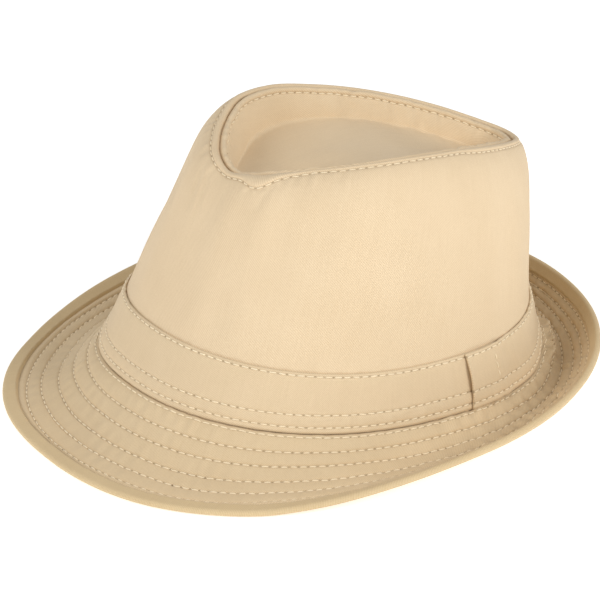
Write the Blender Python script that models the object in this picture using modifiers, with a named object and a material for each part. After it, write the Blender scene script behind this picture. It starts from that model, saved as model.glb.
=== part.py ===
"""A soft trilby of cotton twill, resting on its brim.

The front of the hat faces -Y and the wearer's left is +X. Turns are degrees round the crown:
0 at the front, 90 at the wearer's left and 180 at the back. Lengths are in metres.
"""
import math
from collections import namedtuple

import bmesh
import bpy
from mathutils import Matrix, Vector

# The crown cloth's outside where it meets the brim
BASE_LENGTH = 0.2034
BASE_WIDTH = 0.1646
BASE_SQUARENESS = 2.23
BASE_EGG = 0.024
BASE_ARCH = 0.0024

# The same oval at the top edge of the hat band
BAND_HEIGHT = 0.0238
BAND_TOP_LENGTH = 0.179
BAND_TOP_WIDTH = 0.1522

# The seam round the top of the crown
CREST_FRONT = 0.0546
CREST_BACK = 0.092
CREST_WIDTH = 0.097
CROWN_HEIGHT = 0.1026
SHOULDER = 0.0075
BULGE_SHARE = 0.75
PINCH = 0.003
PINCH_TURN = 38
PINCH_SPREAD = 16

# The crease in the top
CREASE_INSET = 0.007
CREASE_DEPTH = 0.018
CREASE_FLOOR = 0.083
SPINE_FRONT = 0.034
SPINE_BACK = 0.07

# How far the brim reaches past the crown's foot, how square its outline is, and how high its
# edge turns up
BRIM_FRONT = 0.0408
BRIM_SIDE = 0.0328
BRIM_BACK = 0.018
BRIM_SQUARENESS = 2.3
BRIM_ROUNDNESS = 2.0
EDGE_HEIGHT = 0.018

# Cloth
CROWN_CLOTH = 0.0015
BAND_CLOTH = 0.001
BRIM_CLOTH = 0.0014
BINDING_CLOTH = 0.001
BINDING_WIDTH = 0.0062
BAND_LAP = 0.016
BAND_LAP_TURN = 97

# Gaps between pieces, and the flat strip each side of the seam; points nearer than the weld
# are one point
CLEARANCE = 0.0003
SEAM_LAND = 0.0015
WELD = 0.00001

# How the hat rests
REST_TILT = math.radians(4.2)
REST_HEIGHT = 0.0119
PRESS_BLEND = 0.0005

FULL_TURN = 360
SECTIONS = 72

# The crest: sideways as a share of half its width, lengthwise from its front to its back,
# and height as a share of the crown's
CrestRow = namedtuple("CrestRow", "turn side along height")
CREST = (
    CrestRow(0, 0.00, 0.000, 0.865),
    CrestRow(15, 0.25, 0.014, 0.893),
    CrestRow(30, 0.50, 0.068, 0.927),
    CrestRow(45, 0.73, 0.144, 0.960),
    CrestRow(60, 0.92, 0.238, 0.988),
    CrestRow(75, 0.99, 0.369, 0.994),
    CrestRow(90, 0.94, 0.503, 0.974),
    CrestRow(105, 0.85, 0.624, 0.947),
    CrestRow(120, 0.74, 0.732, 0.914),
    CrestRow(135, 0.60, 0.825, 0.880),
    CrestRow(150, 0.44, 0.904, 0.846),
    CrestRow(165, 0.25, 0.970, 0.813),
    CrestRow(180, 0.00, 1.000, 0.800),
)

# The wall and the crease: how far the wall bulges under the crest as a share of the shoulder,
# how deep the fold inside the crease lies as a share of its depth, and how high the middle of
# its floor stands as a share of its own height
WallRow = namedtuple("WallRow", "turn bulge fold floor")
WALL = (
    WallRow(0, 0.50, 0.30, 0.985),
    WallRow(15, 0.65, 0.45, 0.970),
    WallRow(30, 0.95, 0.82, 0.945),
    WallRow(45, 1.02, 0.99, 0.942),
    WallRow(60, 1.00, 0.95, 0.957),
    WallRow(75, 0.85, 0.82, 0.978),
    WallRow(90, 0.75, 0.70, 0.985),
    WallRow(105, 0.75, 0.64, 0.972),
    WallRow(120, 0.72, 0.62, 0.945),
    WallRow(135, 0.76, 0.59, 0.912),
    WallRow(150, 0.73, 0.58, 0.877),
    WallRow(165, 0.70, 0.55, 0.850),
    WallRow(180, 0.67, 0.53, 0.838),
)

# The brim: the height of its edge as a share, and the slope in degrees at which it leaves the
# crown and arrives at its edge
BrimRow = namedtuple("BrimRow", "turn height leave arrive")
BRIM = (
    BrimRow(0, 0.10, -38, -4),
    BrimRow(15, 0.10, -38, -4),
    BrimRow(30, 0.10, -39, -3),
    BrimRow(45, 0.12, -41, 0),
    BrimRow(60, 0.27, -43, 12),
    BrimRow(75, 0.49, -45, 30),
    BrimRow(90, 0.68, -46, 44),
    BrimRow(105, 0.83, -48, 54),
    BrimRow(120, 0.93, -50, 60),
    BrimRow(135, 0.96, -52, 64),
    BrimRow(150, 0.96, -54, 66),
    BrimRow(165, 0.94, -54, 66),
    BrimRow(180, 0.94, -54, 66),
)
BRIM_HANDLE = 0.5
BRIM_STEPS = 48

# Where the rings of faces lie: up the wall above the band, out along the brim to its binding,
# from the fold to the middle of the crease's floor, and down the crease's wall, as shares of
# the way inwards and of the way down
CLIMB_SHARES = (0.22, 0.42, 0.6, 0.76, 0.89, 0.97)
BRIM_SHARES = (0, 0.14, 0.3, 0.47, 0.64, 0.82, 1)
FLOOR_SHARES = (0.35, 0.7)
CreaseStep = namedtuple("CreaseStep", "inward down")
CREASE_STEPS = (CreaseStep(0.45, 0.3), CreaseStep(0.8, 0.72))


def mirrored_row(rows, index):
    """The row at any whole index round the hat; rows past the back are the other side's."""
    last = len(rows) - 1
    index %= 2 * last
    if index <= last:
        return rows[index]
    row = rows[2 * last - index]
    return row._replace(side=-row.side) if "side" in row._fields else row


def row_at(rows, turn):
    """The table's values at any turn, on a smooth curve through its rows."""
    step = rows[1].turn - rows[0].turn
    first, share = divmod(turn / step, 1)
    near = [mirrored_row(rows, int(first) + offset) for offset in (-1, 0, 1, 2)]
    values = []
    for before, start, end, after in zip(*near):
        leaving = (end - before) / 2
        arriving = (after - start) / 2
        rise = end - start
        bend = 3 * rise - 2 * leaving - arriving
        twist = leaving + arriving - 2 * rise
        values.append(start + share * (leaving + share * (bend + share * twist)))
    return rows[0]._make(values)


def squarish(turn, squareness):
    """A unit oval: its sideways and lengthwise values at a turn."""
    angle = math.radians(turn)
    power = 2 / squareness
    across = math.copysign(abs(math.sin(angle)) ** power, math.sin(angle))
    along = -math.copysign(abs(math.cos(angle)) ** power, math.cos(angle))
    return across, along


def oval(turn, length, width):
    """A point on the crown's squarish egg, wider at the back."""
    across, along = squarish(turn, BASE_SQUARENESS)
    return Vector((width / 2 * across * (1 + BASE_EGG * along), length / 2 * along, 0))


def arch(turn):
    """The foot of the crown lifts at the front and back and dips at the sides."""
    return Vector((0, 0, BASE_ARCH * math.cos(2 * math.radians(turn))))


def crest_point(turn):
    """The seam between the wall and the top panel."""
    row = row_at(CREST, turn)
    along = -CREST_FRONT + row.along * (CREST_FRONT + CREST_BACK)
    return Vector((row.side * CREST_WIDTH / 2, along, row.height * CROWN_HEIGHT))


def level_normal(curve, turn, step=0.5):
    """The level direction that points out of a ring round the hat."""
    along = curve(turn + step) - curve(turn - step)
    return Vector((along.y, -along.x, 0)).normalized()


def foot_point(turn):
    return oval(turn, BASE_LENGTH, BASE_WIDTH) + arch(turn)


def band_top_point(turn):
    return oval(turn, BAND_TOP_LENGTH, BAND_TOP_WIDTH) + arch(turn) + Vector((0, 0, BAND_HEIGHT))


def land_point(turn):
    """The outer edge of the flat strip outside the seam."""
    return crest_point(turn) + SEAM_LAND * level_normal(crest_point, turn)


def pinch(turn, climb):
    """The shallow dent each side of the front, where fingers take hold."""
    away = (abs((turn + 180) % FULL_TURN - 180) - PINCH_TURN) / PINCH_SPREAD
    return PINCH * math.exp(-away * away) * math.sin(math.pi * climb ** 1.5) ** 2


def bulge_growth(climb):
    """How far the wall's bulge has grown: none at both ends, and full at its place."""
    fall = 0.5
    rise = fall * BULGE_SHARE / (1 - BULGE_SHARE)
    full = BULGE_SHARE ** rise * (1 - BULGE_SHARE) ** fall
    return climb ** rise * (1 - climb) ** fall / full


def wall_point(turn, climb):
    """The outside of the crown above the band: 0 at the band's top, 1 at the crest's flat strip."""
    low = band_top_point(turn)
    high = land_point(turn)
    bulge = row_at(WALL, turn).bulge * SHOULDER * bulge_growth(climb)
    out = level_normal(band_top_point, turn).lerp(level_normal(crest_point, turn), climb)
    return low.lerp(high, climb) + out.normalized() * (bulge - pinch(turn, climb))


def band_zone_point(turn, climb):
    """The outside of the crown under the band: 0 at the brim, 1 at the band's top."""
    return foot_point(turn).lerp(band_top_point(turn), climb)


def fold_point(turn):
    """The fold at the foot of the crease's wall."""
    row = row_at(WALL, turn)
    inward = -CREASE_INSET * level_normal(crest_point, turn)
    return crest_point(turn) + inward - Vector((0, 0, row.fold * CREASE_DEPTH))


def spine_point(turn):
    """The line along the middle of the crease's floor."""
    share = (1 - math.cos(math.radians(turn))) / 2
    along = -SPINE_FRONT + share * (SPINE_FRONT + SPINE_BACK)
    return Vector((0, along, row_at(WALL, turn).floor * CREASE_FLOOR))


def rested(point):
    """From the upright hat to the hat at rest, tipped back and lifted by its brim."""
    tipped = Matrix.Rotation(-REST_TILT, 3, "X") @ point
    return tipped + Vector((0, 0, REST_HEIGHT))


def brim_root(turn):
    """Where the brim leaves the band's outer face."""
    out = level_normal(foot_point, turn)
    return rested(foot_point(turn) + out * (CLEARANCE + BAND_CLOTH))


def edge_plan(turn):
    """The brim's outline from above."""
    back = (1 - math.cos(math.radians(turn))) / 2
    squareness = BRIM_SQUARENESS + back * (BRIM_ROUNDNESS - BRIM_SQUARENESS)
    across, along = squarish(turn, squareness)
    reach = BRIM_BACK if along > 0 else BRIM_FRONT
    return Vector((across * (BASE_WIDTH / 2 + BRIM_SIDE), along * (BASE_LENGTH / 2 + reach), 0))


def brim_section(turn):
    """The brim's upper outline at one turn, as level and upright distances from its root."""
    row = row_at(BRIM, turn)
    root = brim_root(turn)
    reach = (edge_plan(turn) - root).xy.length
    end = Vector((reach, row.height * EDGE_HEIGHT - root.z))
    pull = BRIM_HANDLE * end.length
    leave = math.radians(row.leave)
    arrive = math.radians(row.arrive)
    first = pull * Vector((math.cos(leave), math.sin(leave)))
    second = end - pull * Vector((math.cos(arrive), math.sin(arrive)))
    points = []
    for step in range(BRIM_STEPS + 1):
        u = step / BRIM_STEPS
        v = 1 - u
        points.append(3 * v * v * u * first + 3 * v * u * u * second + u ** 3 * end)
    return points


def section_length(points):
    return sum((after - before).length for before, after in zip(points, points[1:]))


def along_section(points, distance):
    """The point at a distance along an outline."""
    for before, after in zip(points, points[1:]):
        piece = (after - before).length
        if distance < piece:
            return before.lerp(after, distance / piece)
        distance -= piece
    return points[-1]


def pressed(height, floor):
    """A height kept above the floor, with a short blend where the cloth comes down on it."""
    near = max(PRESS_BLEND - abs(height - floor), 0) / PRESS_BLEND
    return max(height, floor) + near * near * PRESS_BLEND / 4


def brim_point(turn, width):
    """The brim's upper face: 0 at the band, 1 at the edge. The binding's lower leg lifts it."""
    points = brim_section(turn)
    total = section_length(points)
    level, rise = along_section(points, width * total)
    to_edge = (1 - width) * total
    lifted = min(max(2 - to_edge / BINDING_WIDTH, 0), 1)
    floor = BRIM_CLOTH + lifted * (CLEARANCE + BINDING_CLOTH)
    root = brim_root(turn)
    away = (edge_plan(turn) - root) * Vector((1, 1, 0))
    point = root + level * away.normalized()
    point.z = pressed(root.z + rise, floor)
    return point


def surface_normal(surface, turn, share, up):
    """The normal of a surface on the side of the direction given."""
    turn_step = 0.25
    share_step = 0.01
    low = max(share - share_step, 0)
    high = min(share + share_step, 1)
    along = surface(turn + turn_step, share) - surface(turn - turn_step, share)
    across = surface(turn, high) - surface(turn, low)
    normal = along.cross(across).normalized()
    return normal if normal.dot(up) > 0 else -normal


def turns():
    return [index * FULL_TURN / SECTIONS for index in range(SECTIONS)]


def loft(name, rings, closed=True):
    """A mesh through rings of points; the rings run from the inside of the turn outwards."""
    mesh = bmesh.new()
    rows = [[mesh.verts.new(point) for point in ring] for ring in rings]
    count = len(rows[0])
    for lower, upper in zip(rows, rows[1:]):
        for index in range(count if closed else count - 1):
            after = (index + 1) % count
            mesh.faces.new((lower[index], lower[after], upper[after], upper[index]))
    bmesh.ops.remove_doubles(mesh, verts=mesh.verts, dist=WELD)
    data = bpy.data.meshes.new(name)
    mesh.to_mesh(data)
    mesh.free()
    return data


def cloth_material(name, colour):
    material = bpy.data.materials.new(name)
    material.use_nodes = True
    shader = material.node_tree.nodes["Principled BSDF"]
    shader.inputs["Base Color"].default_value = (*colour, 1)
    shader.inputs["Roughness"].default_value = 0.9
    shader.inputs["Metallic"].default_value = 0
    return material


def cloth_piece(name, rings, thickness, colour, closed=True):
    """A shell whose cloth lies on the far side of the faces' normals from the rings."""
    data = loft(name, rings, closed)
    data.materials.append(cloth_material(name + "_cloth", colour))
    data.shade_smooth()
    piece = bpy.data.objects.new(name, data)
    shell = piece.modifiers.new("cloth", "SOLIDIFY")
    shell.thickness = thickness
    shell.offset = -1
    return piece


def crown_side():
    """The wall, from the brim's underside up to the seam round the top."""
    drop = Vector((0, 0, BRIM_CLOTH))
    rings = [
        [foot_point(turn) - drop for turn in turns()],
        [foot_point(turn) for turn in turns()],
        [band_top_point(turn) for turn in turns()],
    ]
    rings += [[wall_point(turn, climb) for turn in turns()] for climb in CLIMB_SHARES]
    rings.append([land_point(turn) for turn in turns()])
    rings.append([crest_point(turn) for turn in turns()])
    rings = [[rested(point) for point in ring] for ring in rings]
    return cloth_piece("crown_side", rings, CROWN_CLOTH, (0.80, 0.66, 0.45))


def crown_tip():
    """The top panel: a flat strip at the seam, a wall down to the fold, and the floor."""
    rings = []
    for inset in (CLEARANCE, CLEARANCE + SEAM_LAND):
        rings.append([crest_point(turn) - inset * level_normal(crest_point, turn) for turn in turns()])
    lands = rings[-1]
    folds = [fold_point(turn) for turn in turns()]
    spines = [spine_point(turn) for turn in turns()]
    for step in CREASE_STEPS:
        ring = []
        for land, fold in zip(lands, folds):
            point = land.lerp(fold, step.inward)
            point.z = land.z + step.down * (fold.z - land.z)
            ring.append(point)
        rings.append(ring)
    rings.append(folds)
    for width in FLOOR_SHARES:
        ring = []
        for fold, spine in zip(folds, spines):
            point = fold.lerp(spine, width)
            point.z = fold.z + (spine.z - fold.z) * math.sin(width * math.pi / 2)
            ring.append(point)
        rings.append(ring)
    rings.append(spines)
    rings = [[rested(point) for point in ring] for ring in rings]
    return cloth_piece("crown_tip", rings, CROWN_CLOTH, (0.76, 0.62, 0.42))


def hat_band():
    """One strip round the foot of the crown; its raised start laps over its end."""
    lap = math.degrees(BAND_LAP / foot_point(BAND_LAP_TURN).length)
    step = FULL_TURN / SECTIONS
    first = BAND_LAP_TURN
    places = [first]
    places += [turn for turn in turns() if turn > first]
    places += [turn + FULL_TURN for turn in turns() if turn <= first + lap]
    rings = []
    for climb in (CLEARANCE / BAND_HEIGHT, 0.5, 1):
        ring = []
        for turn in places:
            raised = min(max((first + lap + step - turn) / step, 0), 1)
            gap = CLEARANCE + raised * (BAND_CLOTH + CLEARANCE)
            out = surface_normal(band_zone_point, turn, climb, foot_point(turn))
            ring.append(rested(band_zone_point(turn, climb) + out * (gap + BAND_CLOTH)))
        rings.append(ring)
    return cloth_piece("hat_band", rings, BAND_CLOTH, (0.78, 0.63, 0.42), closed=False)


def bound_width(turn):
    """The share of the brim's width at which the binding begins."""
    return 1 - BINDING_WIDTH / section_length(brim_section(turn))


def brim():
    """The stitched brim, from a flat strip under the band out to its edge."""
    rings = [[rested(foot_point(turn) + level_normal(foot_point, turn) * CLEARANCE) for turn in turns()]]
    for share in BRIM_SHARES:
        rings.append([brim_point(turn, share * bound_width(turn)) for turn in turns()])
    rings.append([brim_point(turn, 1) for turn in turns()])
    rings.reverse()
    return cloth_piece("brim", rings, BRIM_CLOTH, (0.66, 0.52, 0.34))


def binding_loop(turn):
    """The binding's outside at one turn: an upper leg, a round and a lower leg."""
    up = Vector((0, 0, 1))
    outward = CLEARANCE + BINDING_CLOTH
    begin = bound_width(turn)
    upper = []
    lower = []
    for width in (begin, (begin + 1) / 2, 1):
        point = brim_point(turn, width)
        normal = surface_normal(brim_point, turn, width, up)
        upper.append(point + outward * normal)
        lower.append(point - (BRIM_CLOTH + outward) * normal)
    edge = brim_point(turn, 1)
    tangent = edge - brim_point(turn, begin)
    tangent = (tangent - normal * tangent.dot(normal)).normalized()
    middle = edge - normal * BRIM_CLOTH / 2
    radius = BRIM_CLOTH / 2 + outward
    nose = []
    for degrees in (45, 0, -45):
        angle = math.radians(degrees)
        nose.append(middle + radius * (math.cos(angle) * tangent + math.sin(angle) * normal))
    return upper + nose + lower[::-1]


def brim_binding():
    """The strip folded over the brim's edge."""
    loops = [binding_loop(turn) for turn in turns()]
    rings = [list(ring) for ring in zip(*loops)]
    rings.reverse()
    return cloth_piece("brim_binding", rings, BINDING_CLOTH, (0.62, 0.48, 0.31))


def main():
    for item in list(bpy.data.objects):
        bpy.data.objects.remove(item)
    collection = bpy.data.collections.new("trilby")
    bpy.context.scene.collection.children.link(collection)
    root = bpy.data.objects.new("trilby_root", None)
    collection.objects.link(root)
    for make in (crown_side, crown_tip, hat_band, brim, brim_binding):
        piece = make()
        piece.parent = root
        collection.objects.link(piece)
    edge = [vertex.co.y for vertex in bpy.data.objects["brim_binding"].data.vertices]
    root.location.y = -(min(edge) + max(edge)) / 2
    bpy.context.view_layer.update()


main()
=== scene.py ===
"""The looks of a soft trilby of cotton twill.

The front of the hat faces -Y and the wearer's left is +X. Turns are degrees round the crown:
0 at the front, 90 at the wearer's left and 180 at the back. Lengths are in metres. A grid of
cloth has a row for each place across the cloth and a column for each turn.
"""

import math
from collections import namedtuple

import bmesh
import bpy
import numpy as np
from mathutils import Matrix, Vector


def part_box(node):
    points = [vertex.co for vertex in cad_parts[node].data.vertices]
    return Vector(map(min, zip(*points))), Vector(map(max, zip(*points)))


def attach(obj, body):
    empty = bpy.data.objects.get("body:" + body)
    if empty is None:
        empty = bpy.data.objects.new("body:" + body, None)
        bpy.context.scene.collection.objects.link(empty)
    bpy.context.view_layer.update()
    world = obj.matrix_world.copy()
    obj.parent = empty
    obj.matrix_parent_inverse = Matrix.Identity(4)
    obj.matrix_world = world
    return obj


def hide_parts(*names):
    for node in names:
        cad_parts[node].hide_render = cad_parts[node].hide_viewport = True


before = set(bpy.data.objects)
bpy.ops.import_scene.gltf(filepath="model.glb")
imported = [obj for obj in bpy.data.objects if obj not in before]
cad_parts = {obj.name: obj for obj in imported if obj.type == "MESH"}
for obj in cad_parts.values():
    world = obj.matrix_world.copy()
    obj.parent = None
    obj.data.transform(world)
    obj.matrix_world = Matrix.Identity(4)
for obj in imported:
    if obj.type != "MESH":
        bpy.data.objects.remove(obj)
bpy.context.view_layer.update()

# The crown cloth's outside where it meets the brim, and the same oval at the band's top edge
BASE_LENGTH = 0.2034
BASE_WIDTH = 0.1646
BASE_SQUARENESS = 2.23
BASE_EGG = 0.024
BASE_ARCH = 0.0024
FOOT_TUCK = 0.003
TUCK_START = 142
TUCK_END = 160
TUCK_SOFT = 24
BAND_HEIGHT = 0.0238
BAND_TOP_LENGTH = 0.179
BAND_TOP_WIDTH = 0.1522

# The seam round the top of the crown, and the wall under it
CREST_FRONT = 0.0546
CREST_BACK = 0.092
CREST_WIDTH = 0.097
CROWN_HEIGHT = 0.1026
SHOULDER = 0.0075
BULGE_PLACE = 0.75
PINCH = 0.003
PINCH_TURN = 38
PINCH_SPREAD = 16

# The crease in the top
CREASE_INSET = 0.007
CREASE_DEPTH = 0.018
CREASE_FLOOR = 0.083
SPINE_FRONT = 0.034
SPINE_BACK = 0.07
FLOOR_RISE = 0.8
SPINE_LEVEL = 0.010

# How far the brim reaches past the crown's foot, and how high its edge turns up
BRIM_FRONT = 0.0408
BRIM_SIDE = 0.0328
BRIM_BACK = 0.018
BRIM_SQUARENESS = 2.3
BRIM_ROUNDNESS = 2.0
EDGE_HEIGHT = 0.018

# Cloth
CROWN_CLOTH = 0.0012
BAND_CLOTH = 0.001
BRIM_CLOTH = 0.0014
BINDING_CLOTH = 0.0008
BINDING_WIDTH = 0.0052
BAND_LAP = 0.016
BAND_LAP_TURN = 97
CLEARANCE = 0.0003
FLOOR_LIFT = 0.0013
FLOOR_GAP = 0.0003
SEAM_LAND = 0.0015

# How the hat rests
REST_TILT = math.radians(4.2)
REST_HEIGHT = 0.0119
PRESS_BLEND = 0.0005

# Stitching
STITCH_PITCH = 0.0039
STITCH_LENGTH = 0.0031
THREAD_RADIUS = 0.0003
BRIM_ROWS = (0.21, 0.39, 0.59, 0.765, 0.945)
BRIM_ROWS_RIGHT = (0.125, 0.33, 0.53, 0.74, 0.895)
ATTACH_ROW = 0.0009
TOPSTITCH = 0.0038
CORNER_TURN = 20
CORNER_DROP = 0.0046
CORNER_SPREAD = 7
SIDE_RISE = 0.0012
SIDE_TURNS = (42, 95, 14)
RIGHT_TURNS = (262, 322, 36)
BAND_TOP_ROW = 0.0015
BAND_LOW_ROWS = (0.0028, 0.0079)
LAP_ROW_SHARE = 0.94
THREAD_SIDES = 6
THREAD_STATIONS = 7
THREAD_STRAY = 0.00006

# Relief at the seams and the stitched rows
RIDGE = 0.00065
RIDGE_RISE = 0.0014
SEAM_ROLL = 0.0007
SEAM_ROLL_WIDTH = 0.0007
GROOVE = 0.0006
ROW_DIP = 0.0005
FAINT_DIP = 0.0003
BINDING_DIP = 0.0008
QUILT = 0.0004

# How finely the cloth is divided
COLUMNS = 640
BRIM_COLUMNS = 960
BAND_COLUMNS = 620
SIDE_ROWS = 46
TIP_ROWS = 62
BAND_ROWS = 9
BOUND_ROWS = 4
UNDER_EVERY = 3
DENSE = 160
FULL_TURN = 360

CrestRow = namedtuple("CrestRow", "turn side along height")
CREST = (
    CrestRow(0, 0.00, 0.000, 0.865),
    CrestRow(15, 0.25, 0.014, 0.893),
    CrestRow(30, 0.50, 0.068, 0.927),
    CrestRow(45, 0.73, 0.144, 0.960),
    CrestRow(60, 0.92, 0.238, 0.988),
    CrestRow(75, 0.99, 0.369, 0.994),
    CrestRow(90, 0.94, 0.503, 0.974),
    CrestRow(105, 0.85, 0.624, 0.947),
    CrestRow(120, 0.74, 0.732, 0.914),
    CrestRow(135, 0.60, 0.825, 0.880),
    CrestRow(150, 0.44, 0.904, 0.846),
    CrestRow(165, 0.25, 0.970, 0.813),
    CrestRow(180, 0.00, 1.000, 0.800),
)

WallRow = namedtuple("WallRow", "turn bulge fold floor")
WALL = (
    WallRow(0, 0.50, 0.30, 0.985),
    WallRow(15, 0.65, 0.45, 0.970),
    WallRow(30, 0.95, 0.82, 0.945),
    WallRow(45, 1.02, 0.99, 0.942),
    WallRow(60, 1.00, 0.95, 0.957),
    WallRow(75, 0.85, 0.82, 0.978),
    WallRow(90, 0.75, 0.70, 0.985),
    WallRow(105, 0.75, 0.64, 0.972),
    WallRow(120, 0.72, 0.62, 0.945),
    WallRow(135, 0.76, 0.59, 0.912),
    WallRow(150, 0.73, 0.58, 0.877),
    WallRow(165, 0.70, 0.55, 0.850),
    WallRow(180, 0.67, 0.53, 0.838),
)

BrimRow = namedtuple("BrimRow", "turn height leave arrive")
BRIM = (
    BrimRow(0, 0.10, -38, -4),
    BrimRow(15, 0.10, -38, -4),
    BrimRow(30, 0.10, -39, -3),
    BrimRow(45, 0.12, -41, 0),
    BrimRow(60, 0.27, -43, 12),
    BrimRow(75, 0.49, -45, 30),
    BrimRow(90, 0.68, -46, 44),
    BrimRow(105, 0.83, -48, 54),
    BrimRow(120, 0.93, -50, 60),
    BrimRow(135, 0.96, -52, 64),
    BrimRow(150, 0.96, -54, 66),
    BrimRow(165, 0.94, -54, 66),
    BrimRow(180, 0.94, -54, 66),
)
BRIM_HANDLE = 0.5

# Creases down the crown's front: turn, lean, first and last place below the seam, depth
FRONT_CREASES = (
    (-16, 3.5, 0.006, 0.030, -0.0006),
    (-9, 3.0, 0.007, 0.034, -0.0005),
    (4, 2.0, 0.006, 0.026, -0.0004),
    (26, -2.5, 0.006, 0.024, -0.0004),
)

# Uneven cloth: a seed, the limit of its waves round the hat, their spread across, their height
Uneven = namedtuple("Uneven", "seed finest across height")
SIDE_BODY = Uneven(11, 9, 25, 0.00022)
SIDE_PUCKERS = Uneven(12, 90, 260, 0.00028)
SIDE_SAG = Uneven(13, 26, 60, 0.00013)
TIP_BODY = Uneven(21, 7, 40, 0.0004)
TIP_PUCKERS = Uneven(22, 80, 240, 0.00025)
TIP_FLUTES = Uneven(23, 46, 60, 0.00045)
BAND_BODY = Uneven(31, 14, 60, 0.00022)
BAND_PUCKERS = Uneven(32, 110, 200, 0.00012)
BRIM_BODY = Uneven(41, 12, 90, 0.00035)
BRIM_PUCKERS = Uneven(42, 120, 330, 0.00016)
BRIM_LUMPS = Uneven(43, 60, 500, 0.00012)
BRIM_CREASES = Uneven(44, 130, 500, 0.0007)
BINDING_GATHER = Uneven(52, 150, 300, 0.00008)
BINDING_NOSE = Uneven(53, 20, 60, 0.015)
WAVE_COUNT = 40

# The roll of puckered brim beside the band; its lumps are so many times those of the brim
ROLL_TURNS = (136, 184, 8)
ROLL_HEIGHT = 0.0027
ROLL_LUMPS = 5
ROLL_PLACE = 0.0046
ROLL_WIDTH = 0.0026

# Places on the binding's legs past its seam, how deep the seam is, and the angles of its nose
BINDING_LEGS = (-0.0001, 0.0002, 0.0005, 0.0009, 0.0014, 0.002, 0.003, 0.004, 0.005, BINDING_WIDTH)
LEG_SINK = 0.0006
NOSE_ANGLES = (67, 45, 22, 0, -22, -45, -67)

# The weave, the noises' scales, the stitch holes with their painted shade, and the painted dark line
# along a stitched row
TWILL_PITCH = 0.00068
YARN_PITCH = 0.00036
WANDER_SCALE = 90.0
FUZZ_SCALE = 2600.0
BLOTCH_SCALE = 38.0
# The scale of the noise that makes the painted shade in the stitch holes uneven
HOLE_SHADE_SCALE = 260.0
TWIST_SCALE = 1500.0
STREAKS_ROUND = 900.0
STREAKS_ACROSS = 40.0
HOLE_EDGE = 0.0006
HOLE_MIDDLE = 0.0002
HOLE_DEPTH = 2.5
LINE_EDGE = 0.0006
LINE_MIDDLE = 0.0001
LINE_SHADE = 0.34

# Colours of cloth and thread as screen values, the colour of the painted shade at stitch holes and
# along stitched rows, and the tones that dull three of the cloths
CLOTH_LIGHT = (0.925, 0.840, 0.710)
CLOTH_DARK = (0.815, 0.715, 0.570)
THREAD_LIGHT = (0.99, 0.93, 0.81)
THREAD_DARK = (0.92, 0.84, 0.70)
STITCH_SHADE = (0.46, 0.36, 0.22)
BAND_TONE = (0.98, 0.98, 0.975)
BRIM_TONE = (0.965, 0.96, 0.94)
BINDING_TONE = (0.945, 0.935, 0.885)

# Colours as linear values
SHEEN_TINT = (1.0, 0.94, 0.84, 1)
WHITE = (1, 1, 1, 1)
FLOOR_WHITE = (0.95, 0.95, 0.95, 1)

# The floor and the light
FLOOR_HALF = 6.0
LAMP_AIM = Vector((0, 0, 0.05))
WORLD_LIGHT = 0.42
FLOOR_GLOW = 0.45
Lamp = namedtuple("Lamp", "name azimuth elevation distance size watts")
LAMPS = (
    Lamp("key", 111, 28, 1.6, 0.8, 13),
    Lamp("front_fill", 0, 30, 1.6, 0.8, 10.5),
)

# The camera looks at the middle of the crown's foot from the wearer's left front
CAMERA_AZIMUTH = 54.0
CAMERA_ELEVATION = 26.6
CAMERA_DISTANCE = 1.1
CAMERA_LENS = 149.84
CAMERA_ASIDE = -0.01107
CAMERA_ABOVE = 0.01715
CAMERA_SENSOR = 36
CAMERA_NEAR = 0.05
CAMERA_FAR = 50


def unit(vectors):
    length = np.linalg.norm(vectors, axis=-1, keepdims=True)
    return vectors / np.maximum(length, 1e-12)


def points(x, y, z):
    return np.stack(np.broadcast_arrays(x, y, z), axis=-1).astype(float)


def bell(distance, width):
    """1 at no distance, fading to 0 on both sides."""
    return np.exp(-(distance / width) ** 2)


def groove(distance, depth):
    """The dip that a row of stitches or a seam draws in."""
    return -depth * bell(distance, GROOVE)


def ramp(value, start, end):
    """Smooth step from 0 to 1."""
    share = np.clip((value - start) / (end - start), 0, 1)
    return share * share * (3 - 2 * share)


def turn_window(turn, start, end, soft=12):
    """1 between two turns, fading to 0 outside; turns are from 0 to 360."""
    return ramp(turn, start - soft, start) * (1 - ramp(turn, end, end + soft))


def table_at(rows, turn):
    """The columns of a table at any turns, on a smooth curve through its rows."""
    ring = np.array(rows, float)
    back = ring[-2:0:-1].copy()
    if "side" in rows[0]._fields:
        back[:, 1] *= -1
    ring = np.vstack([ring, back])[:, 1:]
    place = np.asarray(turn, float) / rows[1].turn
    first = np.floor(place).astype(int)
    share = (place - first)[..., None]
    before, start, end, after = (ring[(first + offset) % len(ring)] for offset in (-1, 0, 1, 2))
    leaving = (end - before) / 2
    arriving = (after - start) / 2
    rise = end - start
    bend = 3 * rise - 2 * leaving - arriving
    twist = leaving + arriving - 2 * rise
    values = start + share * (leaving + share * (bend + share * twist))
    return np.moveaxis(values, -1, 0)


def squarish(turn, squareness):
    """A unit oval: its sideways and lengthwise values at each turn."""
    angle = np.radians(turn)
    power = 2 / squareness
    across = np.sign(np.sin(angle)) * np.abs(np.sin(angle)) ** power
    along = -np.sign(np.cos(angle)) * np.abs(np.cos(angle)) ** power
    return across, along


def oval(turn, length, width, height):
    """The crown's squarish egg, wider at the back and arched at the front and back."""
    across, along = squarish(turn, BASE_SQUARENESS)
    arch = BASE_ARCH * np.cos(2 * np.radians(turn))
    return points(width / 2 * across * (1 + BASE_EGG * along), length / 2 * along, arch + height)


def foot_points(turn):
    """The crown's foot, tucked in a little at the wearer's left rear."""
    foot = oval(turn, BASE_LENGTH, BASE_WIDTH, 0)
    tuck = FOOT_TUCK * turn_window(turn % FULL_TURN, TUCK_START, TUCK_END, TUCK_SOFT)
    return foot - unit(foot * np.array([1, 1, 0])) * tuck[..., None]


def band_top_points(turn):
    return oval(turn, BAND_TOP_LENGTH, BAND_TOP_WIDTH, BAND_HEIGHT)


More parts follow.
